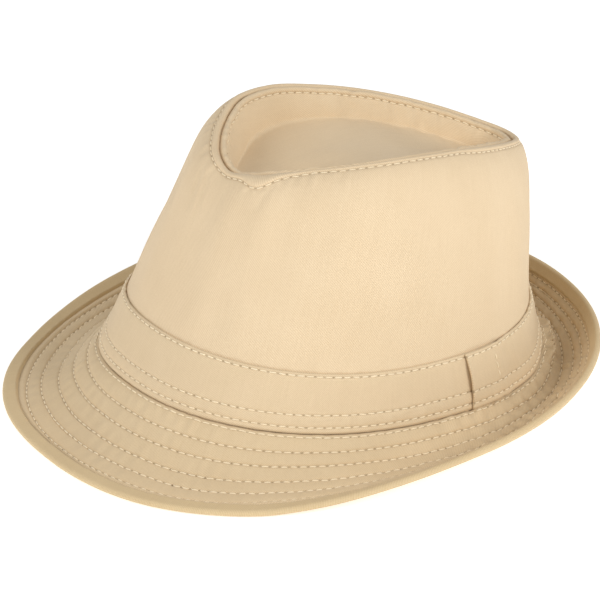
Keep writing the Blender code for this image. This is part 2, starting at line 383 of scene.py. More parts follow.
def crest_points(turn):
    """The seam between the wall and the top panel."""
    side, along, height = table_at(CREST, turn)
    reach = CREST_FRONT + CREST_BACK
    return points(side * CREST_WIDTH / 2, -CREST_FRONT + along * reach, height * CROWN_HEIGHT)


def level_normal(curve, turn, step=0.5):
    """The level direction that points out of a ring round the hat."""
    along = curve(turn + step) - curve(turn - step)
    return unit(points(along[..., 1], -along[..., 0], 0 * along[..., 0]))


def wall_points(turn, climb):
    """The outside of the crown: 0 at the band's top, 1 at the flat strip outside the seam."""
    low = band_top_points(turn)
    high = crest_points(turn) + SEAM_LAND * level_normal(crest_points, turn)
    fall = 0.5
    rise = fall * BULGE_PLACE / (1 - BULGE_PLACE)
    full = BULGE_PLACE ** rise * (1 - BULGE_PLACE) ** fall
    growth = climb ** rise * (1 - climb) ** fall / full
    bulge = table_at(WALL, turn)[0] * SHOULDER * growth
    away = (np.abs((turn + 180) % FULL_TURN - 180) - PINCH_TURN) / PINCH_SPREAD
    dent = PINCH * np.exp(-away ** 2) * np.sin(math.pi * climb ** 1.5) ** 2
    low_out = level_normal(band_top_points, turn)
    high_out = level_normal(crest_points, turn)
    out = unit(low_out + climb * (high_out - low_out))
    return low + climb * (high - low) + out * (bulge - dent)[..., None]


def fold_points(turn):
    """The fold at the foot of the crease's wall."""
    fold = table_at(WALL, turn)[1]
    drop = points(0, 0, fold * CREASE_DEPTH)
    return crest_points(turn) - CREASE_INSET * level_normal(crest_points, turn) - drop


def spine_points(turn):
    """The line along the middle of the crease's floor."""
    share = (1 - np.cos(np.radians(turn))) / 2
    floor = table_at(WALL, turn)[2]
    return points(0, -SPINE_FRONT + share * (SPINE_FRONT + SPINE_BACK), floor * CREASE_FLOOR)


def tipped(grid):
    """From the upright hat to the hat at rest, tipped back and lifted by its brim."""
    turned = grid @ np.array(Matrix.Rotation(-REST_TILT, 3, "X")).T
    return turned + np.array([0, 0, REST_HEIGHT])


def frame_shift():
    """How far the hat lies along Y in the frame, from the front of the crown's wall."""
    front = tipped(np.array([foot_points(0.0), foot_points(0.0) - [0, 0, BRIM_CLOTH]]))
    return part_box("crown_side")[0].y - front[:, 1].min()


SHIFT = np.array([0, frame_shift(), 0])


def rested(grid):
    return tipped(grid) + SHIFT


def brim_roots(turn):
    """Where the brim leaves the band's outer face."""
    out = level_normal(foot_points, turn)
    return rested(foot_points(turn) + out * (CLEARANCE + BAND_CLOTH))


def edge_plan(turn):
    """The brim's outline from above."""
    back = (1 - np.cos(np.radians(turn))) / 2
    squareness = BRIM_SQUARENESS + back * (BRIM_ROUNDNESS - BRIM_SQUARENESS)
    across, along = squarish(turn, squareness)
    reach = np.where(along > 0, BRIM_BACK, BRIM_FRONT)
    plan = points(across * (BASE_WIDTH / 2 + BRIM_SIDE), along * (BASE_LENGTH / 2 + reach), 0)
    return plan + SHIFT


def pressed(height, floor):
    """A height kept above the floor, with a short blend where the cloth comes down on it."""
    near = np.maximum(PRESS_BLEND - np.abs(height - floor), 0) / PRESS_BLEND
    return np.maximum(height, floor) + near ** 2 * PRESS_BLEND / 4


def brim_columns(turn):
    """Dense columns of the brim's upper face, from the band to the edge, and their lengths."""
    height, leave, arrive = table_at(BRIM, turn)
    root = brim_roots(turn)
    away = edge_plan(turn) - root
    away[..., 2] = 0
    reach = np.linalg.norm(away, axis=-1)
    away = unit(away)
    end = np.stack([reach, height * EDGE_HEIGHT - root[..., 2]], -1)
    pull = (BRIM_HANDLE * np.linalg.norm(end, axis=-1))[..., None]
    leave = np.radians(leave)
    arrive = np.radians(arrive)
    first = pull * np.stack([np.cos(leave), np.sin(leave)], -1)
    second = end - pull * np.stack([np.cos(arrive), np.sin(arrive)], -1)
    u = np.linspace(0, 1, DENSE)[:, None, None]
    section = 3 * (1 - u) ** 2 * u * first + 3 * (1 - u) * u ** 2 * second + u ** 3 * end
    travelled = lengths_along(section)
    total = travelled[-1]
    lifted = np.clip(2 - (total - travelled) / BINDING_WIDTH, 0, 1)
    floor = BRIM_CLOTH + lifted * FLOOR_LIFT
    grid = root + section[..., :1] * away
    grid[..., 2] = pressed(root[..., 2] + section[..., 1], floor)
    return grid, travelled, total


def at_places(columns, travelled, places):
    """The points at the places along each column; places holds a row for each row wanted."""
    places = np.broadcast_to(places, (len(places), columns.shape[1]))
    grid = np.empty((*places.shape, 3))
    for index in range(columns.shape[1]):
        for axis in range(3):
            grid[:, index, axis] = np.interp(
                places[:, index], travelled[:, index], columns[:, index, axis]
            )
    return grid


def lengths_along(columns):
    steps = np.linalg.norm(np.diff(columns, axis=0), axis=-1)
    return np.vstack([np.zeros(columns.shape[1]), np.cumsum(steps, axis=0)])


def closed_path(path):
    return np.vstack([path, path[:1]])


def lengths_on(path):
    """How far along a path each of its points lies."""
    steps = np.linalg.norm(np.diff(path, axis=0), axis=-1)
    return np.concatenate([[0], np.cumsum(steps)])


def ring_lengths(grid):
    """The arc length round the hat at each column of the middle row, and the whole length."""
    return lengths_on(closed_path(grid[len(grid) // 2]))


def normals_of(grid):
    """Normals of a grid that closes round the hat."""
    along = np.roll(grid, -1, axis=1) - np.roll(grid, 1, axis=1)
    across = np.gradient(grid, axis=0)
    return unit(np.cross(along, across))


def waves(kind, turn, place):
    """Smooth, repeatable unevenness: a sum of waves round the hat and across the cloth."""
    draws = np.random.default_rng(kind.seed)
    turns_round = draws.integers(1, kind.finest, WAVE_COUNT)
    across = draws.normal(0, kind.across, WAVE_COUNT)
    phases = draws.uniform(0, 2 * math.pi, WAVE_COUNT)
    sizes = draws.uniform(0.5, 1, WAVE_COUNT)
    sizes /= math.sqrt((sizes ** 2).sum() / 2)
    angle = np.radians(turn)
    total = 0
    for number, change, phase, size in zip(turns_round, across, phases, sizes):
        total = total + size * np.sin(number * angle + change * place + phase)
    return kind.height * total


def around(count=COLUMNS):
    return np.arange(count) * FULL_TURN / count


def places_near(centres, start, end, close, wide):
    """Places from start to end: wide apart, and close together beside each centre."""
    offsets = close * np.array([-4, -2.5, -1.5, -0.75, 0, 0.75, 1.5, 2.5, 4])
    fine = [centre + offset for centre in centres for offset in offsets]
    rough = list(np.arange(start, end, wide)) + [end]
    chosen = sorted(place for place in fine if start < place < end)
    for place in rough:
        if all(abs(place - other) > wide * 0.45 for other in chosen):
            chosen.append(place)
    kept = [start]
    for place in sorted(chosen):
        if place - kept[-1] > close * 0.4:
            kept.append(place)
    if end - kept[-1] < close * 0.4:
        kept.pop()
    return np.array(kept + [end])


def places_down(near, count, total):
    """The near places on every column, then evenly spaced ones to the column's end."""
    far = np.linspace(0, 1, count)[1:, None]
    return np.vstack([near[:, None] + 0 * total, near[-1] + far * (total - near[-1])])


# A row of stitches; a negative count marks a row whose ends don't meet
StitchRow = namedtuple("StitchRow", "path normals count")


def stitch_count(path):
    """How many stitches fit round a closed path."""
    return int(round(lengths_on(closed_path(path))[-1] / STITCH_PITCH))


def set_corner_map(mesh, name, values):
    """A pair of numbers for each corner of each face, kept as a UV map."""
    layer = mesh.uv_layers.new(name=name)
    layer.data.foreach_set("uv", values.astype(np.float32).ravel())


def grid_mesh(name, grid, weave, stitch=None, closed=True):
    """A mesh from a grid of points. weave and stitch are grids of pairs with a last column that
    closes the turn."""
    rows, columns = grid.shape[:2]
    across = np.arange(columns if closed else columns - 1)
    following = (across + 1) % columns
    lower = np.arange(rows - 1)[:, None] * columns
    faces = np.stack(
        [lower + across, lower + following, lower + columns + following, lower + columns + across],
        axis=-1,
    ).reshape(-1, 4)
    mesh = bpy.data.meshes.new(name)
    mesh.from_pydata(grid.reshape(-1, 3).tolist(), [], faces.tolist())
    for map_name, pairs in (("weave", weave), ("stitch", stitch)):
        if pairs is None:
            continue
        low = pairs[:-1]
        high = pairs[1:]
        corners = np.stack([low[:, :-1], low[:, 1:], high[:, 1:], high[:, :-1]], axis=2)
        set_corner_map(mesh, map_name, corners.reshape(-1, 2))
    mesh.shade_smooth()
    mesh.update()
    return mesh


def weave_pairs(grid, travelled):
    """Cloth coordinates in metres: along the turn and across the cloth."""
    v = np.hstack([travelled, travelled[:, :1]])
    u = np.broadcast_to(ring_lengths(grid), v.shape)
    return np.stack([u, v], axis=-1)


def nearest_pairs(gaps, along):
    """For each point, how many stitches along its nearest row it is, and how far from the row."""
    nearest = np.abs(gaps).argmin(axis=0)
    gap = np.abs(np.take_along_axis(gaps, nearest[None], axis=0)[0])
    return np.stack([np.take_along_axis(along, nearest, axis=0), gap], axis=-1)


def stitch_pairs(rows, gaps):
    """The stitch map of a closed grid, from its rows and a grid of distances from each row."""
    gaps = np.array([np.hstack([gap, gap[:, :1]]) for gap in gaps])
    reaches = [lengths_on(closed_path(row.path)) for row in rows]
    along = np.array([reach / reach[-1] * row.count for reach, row in zip(reaches, rows)])
    return nearest_pairs(gaps, along)


def add_piece(name, mesh, material, node=None):
    piece = bpy.data.objects.new(name, mesh)
    bpy.context.scene.collection.objects.link(piece)
    mesh.materials.append(material)
    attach(piece, "root")
    if node:
        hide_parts(node)
    return piece


def thicken(piece, thickness):
    """Gives a sheet its cloth thickness, away from the side that its normals show."""
    shell = piece.modifiers.new("cloth", "SOLIDIFY")
    shell.thickness = thickness
    shell.offset = -1
    shell.use_rim = True


def thread_mesh(name, rows, seed):
    """Every stitch of the rows as a short thread that dips into the cloth at both ends."""
    draws = np.random.default_rng(seed)
    all_points = []
    all_faces = []
    start = 0
    for row in rows:
        path = closed_path(row.path) if row.count > 0 else row.path
        normals = closed_path(row.normals) if row.count > 0 else row.normals
        reach = lengths_on(path)
        count = abs(row.count)
        pitch = reach[-1] / count
        half = pitch * STITCH_LENGTH / STITCH_PITCH / 2
        middles = (np.arange(count) + 0.5) * pitch
        share = np.linspace(-1, 1, THREAD_STATIONS)
        longer = draws.uniform(0.92, 1.06, (count, 1))
        places = middles[:, None] + half * longer * share
        centre = np.stack([np.interp(places, reach, path[:, axis]) for axis in range(3)], -1)
        up = unit(np.stack([np.interp(places, reach, normals[:, axis]) for axis in range(3)], -1))
        along = unit(np.gradient(centre, axis=1))
        side = unit(np.cross(up, along))
        swell = np.sqrt(np.maximum(1 - share ** 2, 0))
        lift = THREAD_RADIUS * (1.5 * swell - 0.8)
        centre = centre + up * lift[None, :, None]
        centre = centre + side * (draws.normal(0, THREAD_STRAY, (count, 1, 1)) * share[None, :, None])
        thick = THREAD_RADIUS * (0.6 + 0.4 * swell)
        spin = np.arange(THREAD_SIDES) * 2 * math.pi / THREAD_SIDES
        ring = (
            np.cos(spin)[:, None] * side[:, :, None, :] + np.sin(spin)[:, None] * up[:, :, None, :]
        )
        body = centre[:, :, None, :] + ring * thick[None, :, None, None]
        all_points.append(body.reshape(-1, 3))
        base = start + np.arange(count)[:, None, None] * THREAD_STATIONS * THREAD_SIDES
        station = np.arange(THREAD_STATIONS - 1)[:, None] * THREAD_SIDES
        turn = np.arange(THREAD_SIDES)
        after = (turn + 1) % THREAD_SIDES
        quads = np.stack(
            [
                base + station + turn,
                base + station + THREAD_SIDES + turn,
                base + station + THREAD_SIDES + after,
                base + station + after,
            ],
            axis=-1,
        )
        all_faces += quads.reshape(-1, 4).tolist()
        last = (THREAD_STATIONS - 1) * THREAD_SIDES
        for first in (start + np.arange(count) * THREAD_STATIONS * THREAD_SIDES).tolist():
            all_faces.append([first + index for index in range(THREAD_SIDES)])
            all_faces.append([first + last + index for index in reversed(range(THREAD_SIDES))])
        start += count * THREAD_STATIONS * THREAD_SIDES
    mesh = bpy.data.meshes.new(name)
    mesh.from_pydata(np.vstack(all_points).tolist(), [], all_faces)
    mesh.shade_smooth()
    return mesh


class Nodes:
    """Short calls for a material's nodes."""

    def __init__(self, name):
        self.material = bpy.data.materials.new(name)
        self.material.use_nodes = True
        self.tree = self.material.node_tree
        self.shader = self.tree.nodes["Principled BSDF"]

    def add(self, kind, inputs=None, **settings):
        node = self.tree.nodes.new(kind)
        for key, value in settings.items():
            setattr(node, key, value)
        for key, value in (inputs or {}).items():
            self.set(node.inputs[key], value)
        return node

    def set(self, socket, value):
        if isinstance(value, bpy.types.NodeSocket):
            self.tree.links.new(value, socket)
        else:
            socket.default_value = value

    def math(self, operation, *values, clamp=False):
        node = self.add("ShaderNodeMath", operation=operation, use_clamp=clamp)
        for index, value in enumerate(values):
            self.set(node.inputs[index], value)
        return node.outputs[0]

    def smooth(self, value, start, end):
        node = self.add(
            "ShaderNodeMapRange",
            {"Value": value, "From Min": start, "From Max": end},
            interpolation_type="SMOOTHSTEP",
        )
        return node.outputs["Result"]

    def split_map(self, name):
        uv = self.add("ShaderNodeUVMap", uv_map=name)
        parts = self.add("ShaderNodeSeparateXYZ", {"Vector": uv.outputs["UV"]})
        return parts.outputs["X"], parts.outputs["Y"]

    def noise(self, place, scale, detail=2.0, roughness=0.5):
        inputs = {"Scale": scale, "Detail": detail, "Roughness": roughness, "Vector": place}
        return self.add("ShaderNodeTexNoise", inputs).outputs["Fac"]

    def mix(self, share, first, second):
        inputs = {"Factor": share, "A": first, "B": second}
        return self.add("ShaderNodeMix", inputs, data_type="RGBA").outputs["Result"]

    def bump(self, height, strength, distance):
        inputs = {"Height": height, "Strength": strength, "Distance": distance}
        node = self.add("ShaderNodeBump", inputs)
        self.set(self.shader.inputs["Normal"], node.outputs["Normal"])


def linear(colour):
    """A colour from screen values of 0 to 1 to the linear values that shaders take."""
    values = [c / 12.92 if c <= 0.04045 else ((c + 0.055) / 1.055) ** 2.4 for c in colour]
    return (*values, 1)


def twill(name, light, dark, lean=1.0, stitched=False):
    """Cotton twill: slanted ribs of floating yarns, with uneven yarns and soft blotches; when
    stitched, painted shade darkens the stitch holes and a thin line along each stitched row.
    """
    nodes = Nodes(name)
    u, v = nodes.split_map("weave")
    place = nodes.add("ShaderNodeTexCoord").outputs["Object"]
    wander = nodes.noise(place, WANDER_SCALE, 3.0)
    slip = nodes.math("MULTIPLY", nodes.math("SUBTRACT", wander, 0.5), TWILL_PITCH * 1.5)
    slant = nodes.math("ADD", nodes.math("ADD", nodes.math("MULTIPLY", u, lean), v), slip)
    rib_angle = nodes.math("MULTIPLY", slant, 2 * math.pi / (TWILL_PITCH * math.hypot(lean, 1)))
    rib = nodes.math("MULTIPLY_ADD", nodes.math("SINE", rib_angle), 0.5, 0.5)
    yarn_angle = nodes.math("MULTIPLY", u, 2 * math.pi / YARN_PITCH)
    yarn = nodes.math("MULTIPLY_ADD", nodes.math("SINE", yarn_angle), 0.5, 0.5)
    fuzz = nodes.noise(place, FUZZ_SCALE, 2.0, 0.6)
    blotch = nodes.noise(place, BLOTCH_SCALE, 3.0, 0.55)
    stretched = {
        "X": nodes.math("MULTIPLY", u, STREAKS_ROUND),
        "Y": nodes.math("MULTIPLY", v, STREAKS_ACROSS),
    }
    streak_place = nodes.add("ShaderNodeCombineXYZ", stretched)
    streak = nodes.noise(streak_place.outputs["Vector"], 1.0)
    height = nodes.math("MULTIPLY_ADD", yarn, 0.25, rib)
    height = nodes.math("MULTIPLY_ADD", fuzz, 0.5, height)
    tone = nodes.math("MULTIPLY", rib, 0.26)
    for part, weight in ((fuzz, 0.42), (blotch, 0.2), (streak, 0.12)):
        tone = nodes.math("MULTIPLY_ADD", part, weight, tone)
    colour = nodes.mix(nodes.smooth(tone, 0.1, 0.9), linear(dark), linear(light))
    if stitched:
        # Painted shade: the cloth is darkened towards the stitch-shade colour at each stitch hole and
        # along a thin line on each stitched row
        along, gap = nodes.split_map("stitch")
        phase = nodes.math("SUBTRACT", nodes.math("FRACT", nodes.math("ADD", along, 0.5)), 0.5)
        along_square = nodes.math("POWER", nodes.math("MULTIPLY", phase, STITCH_PITCH), 2.0)
        gap_square = nodes.math("POWER", gap, 2.0)
        from_hole = nodes.math("SQRT", nodes.math("ADD", along_square, gap_square))
        hole = nodes.smooth(from_hole, HOLE_EDGE, HOLE_MIDDLE)
        # Painted shade along a thin line on the stitched row, where the thread sinks into the cloth
        line = nodes.smooth(gap, LINE_EDGE, LINE_MIDDLE)
        # Noise that makes the painted shade in the stitch holes uneven in strength
        hole_shade_strength = nodes.smooth(nodes.noise(place, HOLE_SHADE_SCALE, 1.0), 0.35, 0.65)
        hole_shade_strength = nodes.math("MULTIPLY_ADD", hole_shade_strength, 0.35, 0.2)
        hole_shade = nodes.math("MULTIPLY", hole, hole_shade_strength)
        line_shade = nodes.math("MULTIPLY", line, LINE_SHADE)
        shade = nodes.math("MAXIMUM", hole_shade, line_shade)
        colour = nodes.mix(shade, colour, linear(STITCH_SHADE))
        height = nodes.math("MULTIPLY_ADD", hole, -HOLE_DEPTH, height)
    nodes.set(nodes.shader.inputs["Base Color"], colour)
    rough = nodes.math("MULTIPLY_ADD", fuzz, 0.12, 0.80, clamp=True)
    nodes.set(nodes.shader.inputs["Roughness"], rough)
    nodes.bump(height, 0.34, 0.00012)
    nodes.shader.inputs["Sheen Weight"].default_value = 0.18
    nodes.shader.inputs["Sheen Roughness"].default_value = 0.45
    nodes.shader.inputs["Sheen Tint"].default_value = SHEEN_TINT
    nodes.shader.inputs["Specular IOR Level"].default_value = 0.22
    return nodes.material


def thread_material():
    """Twisted cotton thread, a little lighter than the cloth."""
    nodes = Nodes("thread")
    place = nodes.add("ShaderNodeTexCoord").outputs["Object"]
    uneven = nodes.noise(place, TWIST_SCALE)
    colour = nodes.mix(uneven, linear(THREAD_DARK), linear(THREAD_LIGHT))
    nodes.set(nodes.shader.inputs["Base Color"], colour)
    nodes.bump(uneven, 0.3, 0.0001)
    nodes.shader.inputs["Roughness"].default_value = 0.62
    nodes.shader.inputs["Sheen Weight"].default_value = 0.25
    return nodes.material


def toned(tone):
    """The cloth's light and dark colours, each channel dulled by the tone."""
    return [tuple(np.multiply(colour, tone)) for colour in (CLOTH_LIGHT, CLOTH_DARK)]


CROWN_TWILL = twill("crown_twill", CLOTH_LIGHT, CLOTH_DARK, lean=-1.0, stitched=True)
BAND_TWILL = twill("band_twill", *toned(BAND_TONE), lean=-1.2, stitched=True)
BRIM_TWILL = twill("brim_twill", *toned(BRIM_TONE), lean=1.0, stitched=True)
BINDING_TWILL = twill("binding_twill", *toned(BINDING_TONE), lean=6.0)
THREAD = thread_material()


def seam_relief(down):
    """The padded ridge beside the crown's seam, rolled in at the seam and drawn in at its row."""
    past_row = ramp(down, TOPSTITCH - 0.0012, TOPSTITCH + 0.0004)
    pad = RIDGE * ramp(down, 0, RIDGE_RISE) * (1 - past_row)
    roll = -SEAM_ROLL * bell(down, SEAM_ROLL_WIDTH)
    return pad + roll + groove(down - TOPSTITCH, ROW_DIP)


def topstitch_row(grid, normals, near):
    """The stitches on the grid's row of points at the topstitching."""
    index = int(np.abs(near - TOPSTITCH).argmin())
    return StitchRow(grid[index], normals[index], stitch_count(grid[index]))


def crown_side():
    """The wall of the crown: puckered under the seam, pinched in front and gently uneven."""
    turn = around()
    low = foot_points(turn)
    rows = [low - points(0, 0, 0 * turn + BRIM_CLOTH)]
    rows += [low + share * (band_top_points(turn) - low) for share in (0, 0.5)]
    climbs = 1 - np.linspace(1, 0, DENSE) ** 2
    rows += [wall_points(turn, climb) for climb in climbs]
    rows.append(crest_points(turn))
    columns = rested(np.array(rows))[::-1]
    travelled = lengths_along(columns)
    near = places_near((TOPSTITCH,), 0, 0.010, close=0.0004, wide=0.0012)
    down = places_down(near, SIDE_ROWS, travelled[-1])
    warp = topstitch_drop(turn) * bell(down - TOPSTITCH, 0.0045) * ramp(down, 0, 0.0028)
    grid = at_places(columns, travelled, down + warp)
    normals = -normals_of(grid)
    above = travelled[DENSE]
    clear = 1 - ramp(down, above - 0.007, above - 0.001)
    corner = turn_window(turn, 14, 50) + turn_window((-turn) % FULL_TURN, 14, 50)
    back = turn_window(turn, 150, 210)
    crowded = 0.15 + 0.5 * corner + 0.15 * back
    pucker = crowded * waves(SIDE_PUCKERS, turn, down) * bell(down - 0.0062, 0.0030)
    body = waves(SIDE_BODY, turn, down) * ramp(down, 0.004, 0.03) * clear
    sag = waves(SIDE_SAG, turn, down) * ramp(down, 0.004, 0.02) * clear
    move = seam_relief(down) + pucker + body + sag + crown_front_creases(turn, down)
    grid = grid + normals * move[..., None]
    row = topstitch_row(grid, -normals_of(grid), near)
    mesh = grid_mesh(
        "crown_side_cloth",
        grid[::-1],
        weave_pairs(grid, down)[::-1],
        stitch_pairs([row], [down - TOPSTITCH])[::-1],
    )
    piece = add_piece("crown_side_cloth", mesh, CROWN_TWILL, "crown_side")
    thicken(piece, CROWN_CLOTH)
    return row


def topstitch_drop(turn):
    """How much further from the seam the topstitching runs: it dips where the front corner is
    puckered and rises along the wearer's left side."""
    corner = CORNER_DROP * bell((turn + 180) % FULL_TURN - 180 - CORNER_TURN, CORNER_SPREAD)
    return corner - SIDE_RISE * turn_window(turn, *SIDE_TURNS)


def crown_front_creases(turn, down):
    """Faint creases that run down from the seam where fingers pinch the front."""
    total = 0
    for centre, lean, start, end, depth in FRONT_CREASES:
        signed = (turn - centre + 180) % FULL_TURN - 180
        away = signed - lean * (down - start) / 0.01
        fade = ramp(down, start, start + 0.006) * (1 - ramp(down, end - 0.012, end))
        total = total + depth * bell(away, 1.6) * fade
    return total


def crown_tip():
    """The top panel: topstitched beside the seam, down the crease's wall and over its floor."""
    turn = around()
    seam = crest_points(turn) - CLEARANCE * level_normal(crest_points, turn)
    land = seam - SEAM_LAND * level_normal(crest_points, turn)
    fold = fold_points(turn)
    spine = spine_points(turn)
    spine[:, 2] += FLOOR_RISE * (fold[:, 2] - spine[:, 2])
    level_front(spine)
    rows = [seam]
    steps = np.linspace(0, 1, DENSE // 2)
    for step in steps:
        inward = 1 - (1 - step) ** 1.35
        down = step ** 1.25
        row = land + inward * (fold - land)
        row[:, 2] = land[:, 2] + down * (fold[:, 2] - land[:, 2])
        rows.append(row)
    for width in steps[1:]:
        row = fold + width * (spine - fold)
        row[:, 2] = fold[:, 2] + (spine[:, 2] - fold[:, 2]) * np.sin(width * math.pi / 2)
        rows.append(row)
    columns = rested(np.array(rows))
    columns = soften_fold(columns, len(steps))
    travelled = lengths_along(columns)
    total = travelled[-1]
    near = places_near((TOPSTITCH,), 0, 0.0075, close=0.0004, wide=0.0011)
    places = places_down(near, TIP_ROWS, total)
    grid = at_places(columns, travelled, places)
    normals = normals_up(grid)
    mirrored = np.minimum(turn, FULL_TURN - turn)
    rear = turn_window(mirrored, 95, 170)
    corner = turn_window(mirrored, 10, 50)
    to_spine = ramp(total - places, 0, 0.02)
    crowded = 0.35 + 0.4 * corner + 0.6 * rear
    pucker = crowded * waves(TIP_PUCKERS, turn, places) * bell(places - 0.0034, 0.004)
    flutes = rear * waves(TIP_FLUTES, turn, places) * bell(places - 0.010, 0.006) * to_spine
    body = waves(TIP_BODY, turn, places) * ramp(places, 0.006, 0.02) * to_spine
    move = seam_relief(places) + pucker + flutes + body
    grid = grid + normals * move[..., None]
    row = topstitch_row(grid, normals_up(grid), near)
    mesh = grid_mesh(
        "crown_tip_cloth",
        grid,
        plan_pairs(grid, places, total),
        stitch_pairs([row], [places - TOPSTITCH]),
    )
    weld(mesh)
    piece = add_piece("crown_tip_cloth", mesh, CROWN_TWILL, "crown_tip")
    thicken(piece, CROWN_CLOTH)
    return row


def level_front(spine):
    """Levels the front end of the crease's middle line at the height that it has further back."""
    behind = spine[:, 1] - spine[:, 1].min()
    front = behind < SPINE_LEVEL
    spine[front, 2] = spine[front, 2][behind[front].argmax()]


def soften_fold(columns, middle, reach=3):
    """Rounds the fold between the crease's wall and its floor."""
    rounded = columns.copy()
    for index in range(middle - reach, middle + reach + 1):
        spread = reach + 1 - abs(index - middle)
        rounded[index] = columns[index - spread:index + spread + 1].mean(axis=0)
    return rounded


def normals_up(grid):
    normals = normals_of(grid)
    flip = np.where(normals[..., 2:].mean() < 0, -1, 1)
    return normals * flip


def plan_pairs(grid, places, total):
    """Cloth coordinates of the top panel, laid out flat round the middle line of its crease."""
    middle = grid[-1, :, :2]
    away = unit(grid[0, :, :2] - middle)
    pairs = middle + away * (total - places)[..., None]
    return np.concatenate([pairs, pairs[:, :1]], axis=1)


def weld(mesh, distance=0.00002):
    work = bmesh.new()
    work.from_mesh(mesh)
    bmesh.ops.remove_doubles(work, verts=work.verts, dist=distance)
    work.to_mesh(mesh)
    work.free()


def band_grid(turn, raised, places):
    """The band's outer face; places run down from its folded top edge, in metres."""
    low = foot_points(turn)
    high = band_top_points(turn)
    height = np.linalg.norm(high - low, axis=-1)
    share = 1 - places / height
    grid = low + share[..., None] * (high - low)
    out = unit(np.cross(np.gradient(grid, axis=1), high - low))
    if (out * points(*np.moveaxis(grid, -1, 0)[:2], 0)).sum(-1).mean() < 0:
        out = -out
    gap = CLEARANCE + raised * (BAND_CLOTH + CLEARANCE)
    return grid + out * (gap + BAND_CLOTH)[..., None], out


def hat_band():
    """The band: folded edges, stitched rows, and its end lapped over its start."""
    lap = math.degrees(BAND_LAP / np.linalg.norm(foot_points(float(BAND_LAP_TURN))))
    turn = BAND_LAP_TURN + np.linspace(0, FULL_TURN + lap, BAND_COLUMNS)
    past = turn - BAND_LAP_TURN
    height = np.linalg.norm(band_top_points(turn) - foot_points(turn), axis=-1)
    low_rows = [height - row for row in BAND_LOW_ROWS]
    top = places_near((BAND_TOP_ROW,), 0, 0.005, close=0.00035, wide=0.0011)[:, None]
    foot = places_near(BAND_LOW_ROWS, CLEARANCE, 0.0115, close=0.00035, wide=0.0011)[::-1, None]
    middle = np.linspace(0, 1, BAND_ROWS)[1:-1, None]
    room = height - foot[0] - top[-1]
    places = np.vstack([top + 0 * height, top[-1] + middle * room, height - foot])
    share = places / height
    raised = (1 - ramp(past, lap, lap + 5)) * np.ones_like(places)
    grid, out = band_grid(turn, raised, places)
    up = height - places
    dips = groove(places, SEAM_ROLL) + groove(up, FAINT_DIP)
    dips = dips + groove(places - BAND_TOP_ROW, FAINT_DIP)
    for row in BAND_LOW_ROWS:
        dips = dips + groove(up - row, FAINT_DIP)
    ridge = 0.00025 * bell(up - sum(BAND_LOW_ROWS) / 2, 0.002)
    pucker = waves(BAND_PUCKERS, turn, places) * (bell(up - 0.005, 0.005) + bell(places, 0.003))
    body = waves(BAND_BODY, turn, places) * np.sin(math.pi * share)
    loose = 0.0014 * bell(past, 1.6) * np.sin(math.pi * share ** 0.9) ** 2
    lap_line = -FAINT_DIP * bell(past - lap * LAP_ROW_SHARE, 0.6)
    move = dips + ridge + pucker + body + loose + lap_line
    sway = 0.001 * np.sin(math.pi * share) * bell(past, 2.5)
    grid = grid + out * move[..., None]
    tangent = unit(np.gradient(grid, axis=1))
    grid = rested(grid + tangent * sway[..., None])
    normals = rested(out) - rested(0 * out)
    rows = []
    gaps = []
    kept = past < FULL_TURN - 0.3
    for place in [BAND_TOP_ROW + 0 * height, *low_rows]:
        path = at_places(grid, places, place[None])[0]
        path_normals = at_places(normals, places, place[None])[0]
        rows.append(StitchRow(path[kept], unit(path_normals[kept]), -stitch_count(path[kept])))
        gaps.append(places - place)
    reach = ring_lengths(grid)[:-1]
    weave = np.stack([np.broadcast_to(reach, places.shape), -places], axis=-1)
    stitch = band_stitch_pairs(rows, gaps, past)
    mesh = grid_mesh("hat_band_cloth", grid[::-1], weave[::-1], stitch[::-1], closed=False)
    piece = add_piece("hat_band_cloth", mesh, BAND_TWILL, "hat_band")
    thicken(piece, BAND_CLOTH)
    lap_index = int(np.abs(past - lap * LAP_ROW_SHARE).argmin())
    inside = (up[:, lap_index] > 0.009) & (places[:, lap_index] > 0.003)
    lap_path = grid[inside, lap_index]
    lap_stitches = int(round(lengths_on(lap_path)[-1] / STITCH_PITCH))
    rows.append(StitchRow(lap_path, normals[inside, lap_index], -lap_stitches))
    return rows


def band_stitch_pairs(rows, gaps, past):
    """The band's stitch map: its rows stop before the lap, and are counted on under it."""
    along = []
    for row in rows:
        reach = lengths_on(row.path)
        reach = reach / reach[-1] * abs(row.count)
        spare = len(past) - len(reach)
        pace = reach[-1] - reach[-2]
        along.append(np.concatenate([reach, reach[-1] + pace * np.arange(1, spare + 1)]))
    return nearest_pairs(np.array(gaps), np.array(along))


def brim_row_shares(turn):
    """Where the brim's stitched rows lie, in shares: nearer the band on the wearer's right."""
    spread = turn_window(turn, *RIGHT_TURNS)
    left = np.array(BRIM_ROWS)[:, None]
    right = np.array(BRIM_ROWS_RIGHT)[:, None]
    return left + (right - left) * spread


def brim_places(turn, bound):
    """Places across the brim, close together beside every stitched row, and the rows' own."""
    shares = places_near(BRIM_ROWS, 0, 1, close=0.0085, wide=0.03)
    rows = brim_row_shares(turn)
    usual = [0, *BRIM_ROWS, 1]
    moved = np.vstack([0 * turn, rows, 0 * turn + 1])
    places = np.stack([np.interp(shares, usual, moved[:, index]) for index in range(len(turn))], 1)
    under_binding = bound + np.linspace(0, 1, BOUND_ROWS)[1:, None] * BINDING_WIDTH
    return np.vstack([places * bound, under_binding]), [row * bound for row in rows]


